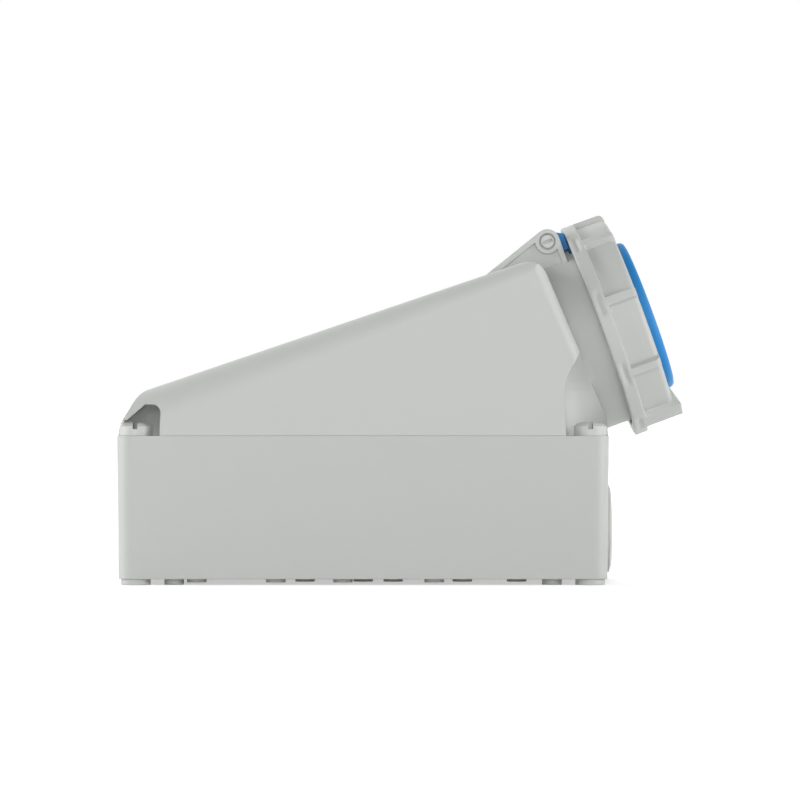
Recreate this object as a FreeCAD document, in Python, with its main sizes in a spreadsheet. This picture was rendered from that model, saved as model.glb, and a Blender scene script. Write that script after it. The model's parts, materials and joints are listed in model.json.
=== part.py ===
"""Wall socket with a hinged lid and a bayonet ring, in millimetres.

Frame: the wall is the plane Z = 0 and +Z points away from it. X runs along the
housing and +X is the end with the socket mouth. The origin is the centre of the
wall fixing pattern. The mouth parts are drawn in the mouth frame, whose Z is the
socket axis, whose X points down across the mouth and whose origin is the centre
of the rear face of the bayonet ring.
"""
import FreeCAD
import Part

import math
import os
import re

import Sketcher

Vector = FreeCAD.Vector
Rotation = FreeCAD.Rotation
Placement = FreeCAD.Placement

# Driving sizes: name and value in millimetres or degrees.
SIZES = (
    ("box_length", 244.6),
    ("box_width", 130.0),
    ("box_top", 74.1),
    ("box_corner", 8.0),
    ("box_draft", 0.6),
    ("box_wall", 4.0),
    ("box_floor", 3.2),
    ("foot_height", 3.0),
    ("foot_radius", 7.4),
    ("screw_inset_x", 9.3),
    ("screw_inset_y", 8.9),
    ("column_radius", 8.2),
    ("skin", 1.7),
    ("rebate_depth", 4.5),
    ("gasket_height", 2.0),
    ("slack", 0.1),
    ("plate_depth", 1.6),
    ("fixing_inset_x", 28.3),
    ("fixing_inset_y", 10.0),
    ("fixing_hole", 2.8),
    ("stud_inset", 10.0),
    ("stud_inset_far", 19.5),
    ("pad_radius", 4.9),
    ("pad_height", 1.8),
    ("back_height", 91.95),
    ("back_knee", 77.0),
    ("back_lean", 31.3),
    ("crown_slope", 18.75),
    ("front_proud", 3.1),
    ("front_lean", 22.9),
    ("side_lean", 3.0),
    ("back_round", 11.0),
    ("front_round", 10.0),
    ("front_edge", 7.2),
    ("edge_back", 20.0),
    ("edge_front", 7.5),
    ("hood_wall", 3.2),
    ("pocket_radius", 15.0),
    ("pocket_dome", 5.0),
    ("pocket_back", 89.6),
    ("pocket_bend", 4.8),
    ("pocket_slope", 41.0),
    ("pocket_eave", 79.7),
    ("pocket_front", 92.0),
    ("pocket_rise", 25.4),
    ("head_room", 0.7),
    ("head_radius", 8.2),
    ("head_rim", 4.7),
    ("head_height", 7.0),
    ("slot_width", 2.2),
    ("slot_depth", 3.6),
    ("shank_radius", 2.5),
    ("shank_way", 0.8),
    ("insert_radius", 4.0),
    ("insert_length", 12.0),
    ("mouth_drop", 36.7496),
    ("mouth_proud", 16.1346),
    ("mouth_tilt", 20.0),
    ("collar_radius", 47.7),
    ("collar_root", 20.0),
    ("collar_gap", 1.0),
    ("collar_front", 0.7),
    ("neck_radius", 44.2),
    ("neck_front", 8.9),
    ("neck_rear", 46.0),
    ("mouth_bore", 41.0),
    ("hinge_axial", 9.7),
    ("hinge_radial", 51.6),
    ("ear_radius", 6.2),
    ("ear_slope", 38.7),
    ("ear_reach", 40.0),
    ("ear_outer", 28.5),
    ("ear_thickness", 7.0),
    ("ear_foot", 13.0),
    ("ear_rim", 2.8),
    ("ear_recess", 1.5),
    ("ear_depth", 25.0),
    ("flat_depth", 20.0),
    ("flat_rear", 17.0),
    ("pin_radius", 2.0),
    ("pin_head", 3.3),
    ("pin_recess", 4.1),
    ("recess_depth", 1.6),
    ("head_gap", 0.2),
    ("ring_radius", 56.0),
    ("ring_body", 52.8),
    ("ring_bore", 50.0),
    ("ring_band", 6.7),
    ("ring_width", 22.4),
    ("ring_window", 39.9),
    ("ring_front", 5.4),
    ("ring_round", 3.0),
    ("rib_width", 5.2),
    ("rib_count", 9),
    ("rib_first", 66.5),
    ("lug_width", 13.0),
    ("lug_proud", 3.5),
    ("clip_rear", 9.3),
    ("clip_thick", 2.0),
    ("clip_inner", 47.8),
    ("claw_inner", 45.3),
    ("claw_rear", 1.2),
    ("claw_thick", 3.5),
    ("claw_angle", 20.0),
    ("cam_rear", 5.2),
    ("cam_thick", 3.2),
    ("cam_radius", 48.6),
    ("cam_angle", 28.0),
    ("lock_turn", 36.0),
    ("lid_radius", 39.0),
    ("lid_front", 27.5),
    ("lid_rear", 11.8),
    ("lid_flange", 49.4),
    ("lid_flange_thick", 4.8),
    ("lid_skin", 3.0),
    ("lid_round", 2.5),
    ("arm_inner", 44.6),
    ("arm_width", 40.0),
    ("barrel_radius", 5.5),
    ("barrel_width", 42.4),
    ("seal_inner", 41.3),
    ("seal_outer", 44.1),
    ("seal_rear", 9.2),
    ("seal_bed", 0.6),
    ("carrier_radius", 34.5),
    ("carrier_flange", 42.8),
    ("carrier_flange_thick", 3.5),
    ("carrier_tail", 33.0),
    ("carrier_tail_length", 14.0),
    ("carrier_gasket", 1.0),
    ("carrier_screw_circle", 46.0),
    ("carrier_screw", 1.5),
    ("carrier_tab", 4.5),
    ("carrier_boss", 17.0),
    ("carrier_head", 2.8),
    ("carrier_head_thick", 2.0),
    ("carrier_screw_length", 14.0),
    ("key_width", 8.0),
    ("key_depth", 3.0),
    ("pin_circle", 19.0),
    ("power_angle", 120.0),
    ("earth_bore", 5.05),
    ("power_bore", 4.05),
    ("pilot_bore", 3.05),
    ("sleeve_wall", 1.4),
    ("sleeve_recess", 4.0),
    ("sleeve_depth", 38.0),
    ("clamp_screw", 2.5),
    ("clamp_length", 9.0),
    ("clamp_way", 0.4),
    ("entry_radius", 20.0),
    ("entry_z", 26.5),
    ("entry_boss", 24.0),
    ("entry_depth", 12.0),
    ("plug_head", 22.4),
    ("plug_rim", 2.7),
    ("plug_dome", 4.1),
    ("washer_thick", 1.0),
    ("plug_wall", 4.0),
    ("edge_margin", 5.0),
)
# Places along the box of the small studs under its floor, row by row.
STUD_ROWS = (("stud_inset", (-82.7, -43.4, -10.0, 35.4)),
             ("stud_inset_far", (-29.0, 0.0, 15.0, 49.6, 76.7)))
# Angles of the four carrier screws in the mouth frame.
CARRIER_ANGLES = (50, 130, 230, 310)

doc = FreeCAD.newDocument("wall_socket")
sheet = doc.addObject("Spreadsheet::Sheet", "Sizes")
for row, (alias, number) in enumerate(SIZES, start=1):
    sheet.set(f"A{row}", alias)
    sheet.set(f"B{row}", str(number))
    sheet.setAlias(f"B{row}", alias)
doc.recompute()

ALIASES = re.compile(r"\b(" + "|".join(alias for alias, number in SIZES) + r")\b")
SCREW_X = "(box_length / 2 - screw_inset_x)"
SCREW_Y = "(box_width / 2 - screw_inset_y)"
FIXING_X = "(box_length / 2 - fixing_inset_x)"
FIXING_Y = "(box_width / 2 - fixing_inset_y)"
FRONT_REACH = "(box_length / 2 + front_proud)"
FRONT_TAN = "tan(front_lean * 1 deg)"
CROWN_TAN = "tan(crown_slope * 1 deg)"
LEAN_TAN = "tan(back_lean * 1 deg)"
APEX_Z = (f"((back_height + {CROWN_TAN} * ({FRONT_REACH} + box_top * {FRONT_TAN} + box_length / 2))"
          f" / (1 + {CROWN_TAN} * {FRONT_TAN}))")
APEX_X = f"({FRONT_REACH} - ({APEX_Z} - box_top) * {FRONT_TAN})"
MOUTH_COS = "cos(mouth_tilt * 1 deg)"
MOUTH_SIN = "sin(mouth_tilt * 1 deg)"
MOUTH_Z = f"({APEX_Z} - mouth_drop)"
MOUTH_X = f"({FRONT_REACH} - ({MOUTH_Z} - box_top) * {FRONT_TAN} + mouth_proud)"
HINGE_X = f"({MOUTH_X} - hinge_axial * {MOUTH_COS} - hinge_radial * {MOUTH_SIN})"
HINGE_Z = f"({MOUTH_Z} - hinge_axial * {MOUTH_SIN} + hinge_radial * {MOUTH_COS})"
PLUG_X = "(box_length / 2 - (box_top - entry_z - plug_head) * tan(box_draft * 1 deg))"
TURNS = {
    "Z": Rotation(),
    "X": Rotation(Vector(0, 1, 0), 90),
    "Y": Rotation(Vector(1, 0, 0), -90),
}


def size(text):
    """Value of an expression on the named sizes."""
    return float(sheet.evalExpression(text))


def tied(text):
    """The expression with every size name pointed at the sheet."""
    return ALIASES.sub(r"Sizes.\1", text)


def bind(item, ties):
    """Bind properties of an object to expressions on the sizes."""
    for name, text in ties.items():
        item.setExpression(name, tied(text))
    return item


def put(item, at):
    """Bind the place of an object to three expressions."""
    return bind(item, {f"Placement.Base.{key}": text for key, text in zip("xyz", at)})


def drum(name, radius, height, at=("0", "0", "0"), axis="Z"):
    """Cylinder that starts at a point and runs along a main axis."""
    item = doc.addObject("Part::Cylinder", name)
    item.Placement = Placement(Vector(), TURNS[axis])
    bind(item, {"Radius": radius, "Height": height})
    return put(item, at)


def block(name, sides, at):
    """Box given by its three sides and its lowest corner."""
    item = doc.addObject("Part::Box", name)
    bind(item, dict(zip(("Length", "Width", "Height"), sides)))
    return put(item, at)


def fuse(name, *items):
    """One body out of several that touch or overlap."""
    item = doc.addObject("Part::MultiFuse", name)
    item.Shapes = list(items)
    return item


def common(name, first, second, *others):
    """What several bodies share."""
    item = doc.addObject("Part::Common", name)
    item.Base = first
    item.Tool = second
    return common(f"{name}_with", item, *others) if others else item


def cut(name, base, *tools):
    """A body less its tools."""
    item = doc.addObject("Part::Cut", name)
    item.Base = base
    item.Tool = tools[0] if len(tools) == 1 else fuse(f"{name}_tools", *tools)
    return item


def outline(sketch, corners):
    """Closed outline whose corners are bound to pairs of expressions."""
    spots = [tuple(size(text) for text in corner) for corner in corners]
    count = len(spots)
    for index, spot in enumerate(spots):
        after = spots[(index + 1) % count]
        sketch.addGeometry(Part.LineSegment(Vector(*spot, 0), Vector(*after, 0)), False)
    for index in range(count):
        sketch.addConstraint(Sketcher.Constraint("Coincident", index, 2, (index + 1) % count, 1))
    for index, (corner, spot) in enumerate(zip(corners, spots)):
        for kind, text, value in zip(("DistanceX", "DistanceY"), corner, spot):
            rule = sketch.addConstraint(Sketcher.Constraint(kind, -1, 1, index, 1, value))
            sketch.setExpression(f"Constraints[{rule}]", tied(text))
    return sketch


def turned(name, corners):
    """Turned body: an outline of radius and height, revolved about Z."""
    body = doc.addObject("PartDesign::Body", name)
    plane = [item for item in body.Origin.OriginFeatures if item.Role == "XZ_Plane"][0]
    sketch = body.newObject("Sketcher::SketchObject", f"{name}_section")
    sketch.AttachmentSupport = (plane, "")
    sketch.MapMode = "FlatFace"
    outline(sketch, corners)
    turn = body.newObject("PartDesign::Revolution", f"{name}_turn")
    turn.Profile = sketch
    turn.ReferenceAxis = (sketch, ["V_Axis"])
    turn.Angle = 360
    return body


def side_prism(name, corners, low, depth):
    """Body with an outline in X and Z that runs along Y from a low side."""
    sketch = doc.addObject("Sketcher::SketchObject", f"{name}_outline")
    sketch.Placement = Placement(Vector(), Rotation(Vector(1, 0, 0), 90))
    bind(sketch, {"Placement.Base.y": low})
    outline(sketch, corners)
    item = doc.addObject("Part::Extrusion", name)
    item.Base = sketch
    item.DirMode = "Normal"
    item.Solid = True
    item.Reversed = True
    bind(item, {"LengthFwd": depth})
    return item


def plate_prism(name, length, width, corner, base, depth, draft="0", down=False):
    """Plate with round corners, drawn at a height and run up or down."""
    sketch = doc.addObject("Sketcher::SketchObject", f"{name}_outline")
    bind(sketch, {"Placement.Base.z": base})
    half_x = size(length) / 2
    half_y = size(width) / 2
    radius = size(corner)
    in_x = half_x - radius
    in_y = half_y - radius
    ends = [(-in_x, -half_y), (in_x, -half_y), (half_x, -in_y), (half_x, in_y),
            (in_x, half_y), (-in_x, half_y), (-half_x, in_y), (-half_x, -in_y)]
    centres = [(in_x, -in_y), (in_x, in_y), (-in_x, in_y), (-in_x, -in_y)]
    for index in range(4):
        first, last = ends[2 * index], ends[2 * index + 1]
        sketch.addGeometry(Part.LineSegment(Vector(*first, 0), Vector(*last, 0)), False)
        circle = Part.Circle(Vector(*centres[index], 0), Vector(0, 0, 1), radius)
        start = math.radians(90 * index - 90)
        sketch.addGeometry(Part.ArcOfCircle(circle, start, start + math.pi / 2), False)
    for index in range(4):
        line, arc, after = 2 * index, 2 * index + 1, (2 * index + 2) % 8
        sketch.addConstraint(Sketcher.Constraint("Tangent", line, 2, arc, 1))
        sketch.addConstraint(Sketcher.Constraint("Tangent", arc, 2, after, 1))
        kind = "Horizontal" if index % 2 == 0 else "Vertical"
        sketch.addConstraint(Sketcher.Constraint(kind, line))
    for arc in (3, 5, 7):
        sketch.addConstraint(Sketcher.Constraint("Equal", 1, arc))
    sketch.addConstraint(Sketcher.Constraint("Symmetric", 3, 3, 7, 3, -1, 1))
    rules = (("Radius", (1,), corner, radius),
             ("DistanceX", (7, 3, 1, 3), f"{length} - 2 * ({corner})", 2 * in_x),
             ("DistanceY", (1, 3, 3, 3), f"{width} - 2 * ({corner})", 2 * in_y))
    for kind, target, text, value in rules:
        rule = sketch.addConstraint(Sketcher.Constraint(kind, *target, value))
        sketch.setExpression(f"Constraints[{rule}]", tied(text))
    item = doc.addObject("Part::Extrusion", name)
    item.Base = sketch
    item.DirMode = "Custom"
    item.Dir = Vector(0, 0, -1 if down else 1)
    item.Solid = True
    bind(item, {"LengthFwd": depth, "TaperAngle": f"-({draft})"})
    return item


def seat(item):
    """Place a body that is drawn in the mouth frame."""
    item.Placement = Placement(Vector(), Rotation(Vector(0, 1, 0), 1))
    bind(item, {"Placement.Rotation.Angle": "90 deg - mouth_tilt * 1 deg"})
    return put(item, (MOUTH_X, "0", MOUTH_Z))


def wrapped(item):
    """Compound of one body, so that it can be placed once more."""
    shell = doc.addObject("Part::Compound", f"{item.Name}_held")
    shell.Links = [item]
    return shell


def corners_of(x, y):
    """The four mirrored places of a point."""
    return [(sx + x, sy + y) for sx in ("", "-") for sy in ("", "-")]


def four(name, radius, height, x, y, base):
    """Four equal cylinders at the mirrored places."""
    return fuse(name, *[drum(f"{name}_{index}", radius, height, (place[0], place[1], base))
                        for index, place in enumerate(corners_of(x, y))])


def copies(name, maker, x, y):
    """Compound of separate solids, one at each mirrored place."""
    item = doc.addObject("Part::Compound", name)
    item.Links = [maker(f"{name}_{index}", place) for index, place in enumerate(corners_of(x, y))]
    return item


def box_loop(name, inset, radius, base, height):
    """Block of the box plan less the four corner columns."""
    plan = block(f"{name}_plan", (f"box_length - 2 * ({inset})", f"box_width - 2 * ({inset})", height),
                 (f"-box_length / 2 + {inset}", f"-box_width / 2 + {inset}", base))
    columns = four(f"{name}_columns", radius, height, SCREW_X, SCREW_Y, base)
    ends = [block(f"{name}_corner_{index}", ("2 * column_radius", "2 * column_radius", height),
                  (x if sx else f"{x} - 2 * column_radius", y if sy else f"{y} - 2 * column_radius", base))
            for index, (x, y) in enumerate(corners_of(SCREW_X, SCREW_Y))
            for sx, sy in [(not x.startswith("-"), not y.startswith("-"))]]
    return cut(name, plan, columns, *ends)


REBATE = "(box_top - rebate_depth)"
LEDGE_RADIUS = "(column_radius + box_wall - skin)"


def back_box():
    """Open box with corner columns, a gasket ledge, feet and cable entries."""
    shell = plate_prism("box_shell", "box_length", "box_width", "box_corner", "box_top",
                        "box_top - foot_height", "box_draft", down=True)
    feet = four("box_feet", "foot_radius", "foot_height + box_floor", SCREW_X, SCREW_Y, "0")
    pads = four("box_pads", "pad_radius", "foot_height + box_floor", FIXING_X, FIXING_Y, "0")
    spots = [(str(x), f"{sign}(box_width / 2 - {inset})")
             for inset, row_places in STUD_ROWS for x in row_places for sign in ("", "-")]
    studs = [drum(f"box_stud_{index}", "pad_radius", "pad_height + box_floor",
                  (*spot, "foot_height - pad_height"))
             for index, spot in enumerate(spots)]
    floor_top = "(foot_height + box_floor)"
    cavity = box_loop("box_cavity", "box_wall", LEDGE_RADIUS, floor_top, f"{REBATE} - {floor_top}")
    rebate = box_loop("box_rebate", "skin", "column_radius", REBATE, "rebate_depth")
    mouth = plate_prism("box_mouth", "box_length - 2 * skin", "box_width - 2 * skin",
                        "box_corner - skin", "box_top - plate_depth", "plate_depth")
    right = drum("box_entry_right", "entry_boss", "entry_depth",
                 ("box_length / 2 - entry_depth - 1", "0", "entry_z"), "X")
    left = drum("box_entry_left", "entry_boss", "entry_depth",
                ("1 - box_length / 2", "0", "entry_z"), "X")
    bosses = common("box_entries", fuse("box_entry_pair", right, left),
                    block("box_entry_room", ("box_length", "2 * entry_boss", "box_top"),
                          ("-box_length / 2", "-entry_boss", "foot_height")))
    entry = drum("box_entry_bore", "entry_radius", "box_length * 2", ("-box_length", "0", "entry_z"), "X")
    holes = four("box_fixing_holes", "fixing_hole", "box_floor * 4", FIXING_X, FIXING_Y, "0")
    inserts = four("box_insert_holes", "insert_radius", "insert_length",
                   SCREW_X, SCREW_Y, "box_top - plate_depth - insert_length")
    hollow = cut("box_hollow", fuse("box_solid", shell, feet, pads, *studs), cavity, rebate, mouth)
    return cut("back_box", fuse("box_with_entries", hollow, bosses), entry, holes, inserts)


def housing_gasket():
    """Soft loop on the ledge of the box, under the lip of the hood."""
    outer = box_loop("gasket_outer", "(skin + slack)", "(column_radius + slack)", REBATE, "gasket_height")
    inner = box_loop("gasket_inner", "box_wall", LEDGE_RADIUS, REBATE, "gasket_height")
    return cut("housing_gasket", outer, inner)


# How far a rounding or a side stands inside the plane it meets, so that the two cross cleanly.
SHAVE = 0.05


def crown_section(x, inset):
    """Cross-section of the hood: leaning sides that end in round upper corners."""
    lean = math.radians(size("side_lean"))
    share = (x + size("box_length") / 2) / (size(APEX_X) + size("box_length") / 2)
    radius = size("edge_back") + share * (size("edge_front") - size("edge_back")) - inset
    top = size(f"back_height + {CROWN_TAN} * ({x} + box_length / 2)") - inset
    low = size("box_top - edge_margin")
    half = size("box_width") / 2 - inset - SHAVE
    middle = half - math.tan(lean) * (top - radius - size("box_top")) - radius / math.cos(lean)
    arc = [(middle + radius * math.cos(angle), top - radius + radius * math.sin(angle))
           for angle in (lean, (math.pi / 2 + lean) / 2, math.pi / 2)]
    right = [(half - math.tan(lean) * (low - size("box_top")), low)] + arc
    spots = [Vector(x, -y, z) for y, z in right] + [Vector(x, y, z) for y, z in reversed(right)]
    edges = [Part.LineSegment(spots[0], spots[1]).toShape(),
             Part.Arc(spots[1], spots[2], spots[3]).toShape(),
             Part.LineSegment(spots[3], spots[4]).toShape(),
             Part.Arc(spots[4], spots[5], spots[6]).toShape(),
             Part.LineSegment(spots[6], spots[7]).toShape(),
             Part.LineSegment(spots[7], spots[0]).toShape()]
    return Part.Wire(edges)


def crown(name, inset):
    """Long roof with edge roundings that shrink towards the front."""
    ends = (-size("box_length") / 2, size(FRONT_REACH))
    item = doc.addObject("Part::Feature", name)
    item.Shape = Part.makeLoft([crown_section(x, inset) for x in ends], True, True)
    return item


def corner_round(name, side, inset):
    """Tool that rounds the edge between one side of the hood and its front."""
    lean = math.radians(size("side_lean"))
    fall = math.radians(size("front_lean"))
    rise = size("front_edge") - SHAVE
    start = size("pocket_front - box_top")
    spot = Vector(size(FRONT_REACH) - math.tan(fall) * start - rise / math.cos(fall),
                  side * (size("box_width") / 2 - math.tan(lean) * start - rise / math.cos(lean)),
                  size("pocket_front"))
    way = Vector(-math.tan(fall), -side * math.tan(lean), 1)
    way.normalize()
    outward = (size("front_edge") + 2) * Vector(0, side * math.cos(lean), math.sin(lean))
    forward = (size("front_edge") + 2) * Vector(math.cos(fall), 0, math.sin(fall))
    length = size(f"{APEX_Z} - box_top")
    plan = Part.makePolygon([spot, spot + outward, spot + outward + forward, spot + forward, spot])
    item = doc.addObject("Part::Feature", name)
    item.Shape = Part.Face(plan).extrude(length * way).cut(
        Part.makeCylinder(size("front_edge") - inset, length, spot, way))
    return item


def arc_corners(centre, radius, first, last):
    """Points of an arc between two angles, as pairs of expressions."""
    angles = [f"(({first}) + (({last}) - ({first})) * {part} / 8) * 1 deg" for part in range(9)]
    return [(f"{centre[0]} + {radius} * cos({angle})", f"{centre[1]} + {radius} * sin({angle})")
            for angle in angles]


def hood_envelope(name, inset):
    """Outer form of the hood, or of its inside at a given wall."""
    gap = f"{inset}"
    back_x = f"(-box_length / 2 + {gap})"
    face = f"({FRONT_REACH} - {gap} / cos(front_lean * 1 deg))"
    low = "(box_top - edge_margin)"
    lean_cos = "cos(back_lean * 1 deg)"
    front_cos = "cos(front_lean * 1 deg)"
    roof = "(back_height - {0} / cos(crown_slope * 1 deg))"
    back_z = (f"(({roof.format('back_round')} + {CROWN_TAN} * (back_round / {lean_cos}"
              f" - back_knee * {LEAN_TAN})) / (1 - {CROWN_TAN} * {LEAN_TAN}))")
    back = (f"(-box_length / 2 + back_round / {lean_cos} + ({back_z} - back_knee) * {LEAN_TAN})", back_z)
    front_z = (f"(({roof.format('front_round')} + {CROWN_TAN} * ({FRONT_REACH}"
               f" - front_round / {front_cos} + box_top * {FRONT_TAN} + box_length / 2))"
               f" / (1 + {CROWN_TAN} * {FRONT_TAN}))")
    front = (f"({FRONT_REACH} - front_round / {front_cos} - ({front_z} - box_top) * {FRONT_TAN})", front_z)
    corners = [(back_x, low), (back_x, f"back_knee - {gap} * tan(back_lean / 2 * 1 deg)"),
               *arc_corners(back, f"(back_round - {gap})", "180 - back_lean", "90 + crown_slope"),
               *arc_corners(front, f"(front_round - {gap})", "90 + crown_slope", "front_lean"),
               (f"{face} + edge_margin * {FRONT_TAN}", low)]
    side = side_prism(f"{name}_side", corners, "-box_width", "2 * box_width")
    plan = plate_prism(f"{name}_plan", f"box_length - 2 * {gap}", f"box_width - 2 * {gap}",
                       f"box_corner - {gap}", "box_top", "2 * box_top", "side_lean")
    form = common(f"{name}_form", side, plan, crown(f"{name}_crown", size(gap)))
    return cut(name, form, *[corner_round(f"{name}_corner_{index}", side_sign, size(gap))
                             for index, side_sign in enumerate((1, -1))])


def front_pocket(name, place, extra):
    """Upright round pocket with a tall domed roof, or its housing when a wall is added."""
    radius = f"(pocket_radius + {extra})"
    straight = "(pocket_front - box_top)"
    rim = [(f"{radius} * cos({angle} deg)", f"{straight} + (pocket_rise + {extra}) * sin({angle} deg)")
           for angle in range(0, 90, 10)]
    item = turned(name, [("0", "0"), (radius, "0"), *rim, ("0", f"{straight} + pocket_rise + {extra}")])
    return put(item, (*place, "box_top"))


def back_pocket(name, place, extra):
    """Upright round pocket whose roof falls towards the end, or its housing."""
    radius = f"(pocket_radius + {extra} - pocket_dome)"
    straight = f"(pocket_back + {extra} - box_top - pocket_dome)"
    rim = [(f"{radius} + pocket_dome * cos({angle} deg)", f"{straight} + pocket_dome * sin({angle} deg)")
           for angle in range(0, 91, 15)]
    item = turned(f"{name}_round", [("0", "0"), (f"{radius} + pocket_dome", "0"), *rim,
                                    ("0", f"{straight} + pocket_dome")])
    put(item, (*place, "box_top"))
    slope = "tan(pocket_slope * 1 deg)"
    bend = f"(pocket_bend - {SCREW_X})"
    roof = f"(pocket_back + {extra} / cos(pocket_slope * 1 deg))"
    eave = f"(pocket_eave + {extra})"
    eave_x = f"({bend} - ({roof} - {eave}) / {slope})"
    room = side_prism(f"{name}_slope",
                      [(f"{bend} + 2 * pocket_radius", f"{roof} + 2 * pocket_radius * {slope}"),
                       (eave_x, eave), (f"{eave_x} - 2 * pocket_radius", eave),
                       (f"{eave_x} - 2 * pocket_radius", "box_top - 1"),
                       (f"{bend} + 2 * pocket_radius", "box_top - 1")], "-box_width", "2 * box_width")
    head = drum(f"{name}_head", f"head_radius + head_room + {extra}", f"head_height + head_room + {extra}",
                (*place, "box_top"))
    return fuse(name, common(f"{name}_roofed", item, room), head)


def pockets(name, extra):
    """The four screw pockets, or their housings when a wall is added."""
    makers = (front_pocket, front_pocket, back_pocket, back_pocket)
    return fuse(name, *[maker(f"{name}_{index}", place, extra)
                        for index, (maker, place) in enumerate(zip(makers, corners_of(SCREW_X, SCREW_Y)))])


def ear(name, low, recess_low):
    """Hinge ear: a boss round the pin and a web with a raised rim that falls back to the roof."""
    slope_cos = "cos(ear_slope * 1 deg)"
    slope_sin = "sin(ear_slope * 1 deg)"
    top_x = f"{HINGE_X} - ear_radius * {slope_sin}"
    top_z = f"{HINGE_Z} + ear_radius * {slope_cos}"
    front_x = f"{HINGE_X} + ear_radius * {MOUTH_COS}"
    front_z = f"{HINGE_Z} + ear_radius * {MOUTH_SIN}"
    corners = [(top_x, top_z),
               (f"{top_x} - ear_reach * {slope_cos}", f"{top_z} - ear_reach * {slope_sin}"),
               (f"{front_x} + ear_foot * {MOUTH_SIN} - ear_depth",
                f"{front_z} - ear_foot * {MOUTH_COS} - ear_depth"),
               (f"{front_x} + ear_foot * {MOUTH_SIN}", f"{front_z} - ear_foot * {MOUTH_COS}"),
               (front_x, front_z)]
    web = side_prism(f"{name}_web", corners, low, "ear_thickness")
    panel_x = f"({top_x} + ear_rim * {slope_sin})"
    panel_z = f"({top_z} - ear_rim * {slope_cos})"
    edge_x = f"({front_x} - ear_rim * {MOUTH_COS})"
    edge_z = f"({front_z} - ear_rim * {MOUTH_SIN})"
    panel = side_prism(f"{name}_panel",
                       [(panel_x, panel_z),
                        (f"{panel_x} - ear_reach * {slope_cos}", f"{panel_z} - ear_reach * {slope_sin}"),
                        (f"{edge_x} + ear_foot * {MOUTH_SIN} - ear_depth",
                         f"{edge_z} - ear_foot * {MOUTH_COS} - ear_depth"),
                        (f"{edge_x} + ear_foot * {MOUTH_SIN}", f"{edge_z} - ear_foot * {MOUTH_COS}"),
                        (edge_x, edge_z)], recess_low, "ear_recess + 1")
    boss = drum(f"{name}_boss", "ear_radius", "ear_thickness", (HINGE_X, low, HINGE_Z), "Y")
    return fuse(name, cut(f"{name}_rimmed", web, panel), boss)


def mouth_drum(name, radius, rear, front):
    """Cylinder about the socket axis between two axial places."""
    return drum(name, radius, f"({front}) - ({rear})", ("0", "0", rear))


def sector(name, inner, outer, rear, thick, middle, angle):
    """Part of a flat ring about the socket axis, by its middle angle and width."""
    item = turned(name, [(inner, rear), (outer, rear), (outer, f"{rear} + {thick}"),
                         (inner, f"{rear} + {thick}")])
    turn = item.Tip
    turn.Midplane = True
    turn.setExpression("Angle", tied(angle))
    item.Placement = Placement(Vector(), Rotation(Vector(0, 0, 1), 1))
    bind(item, {"Placement.Rotation.Angle": f"({middle}) * 1 deg"})
    return item


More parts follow.
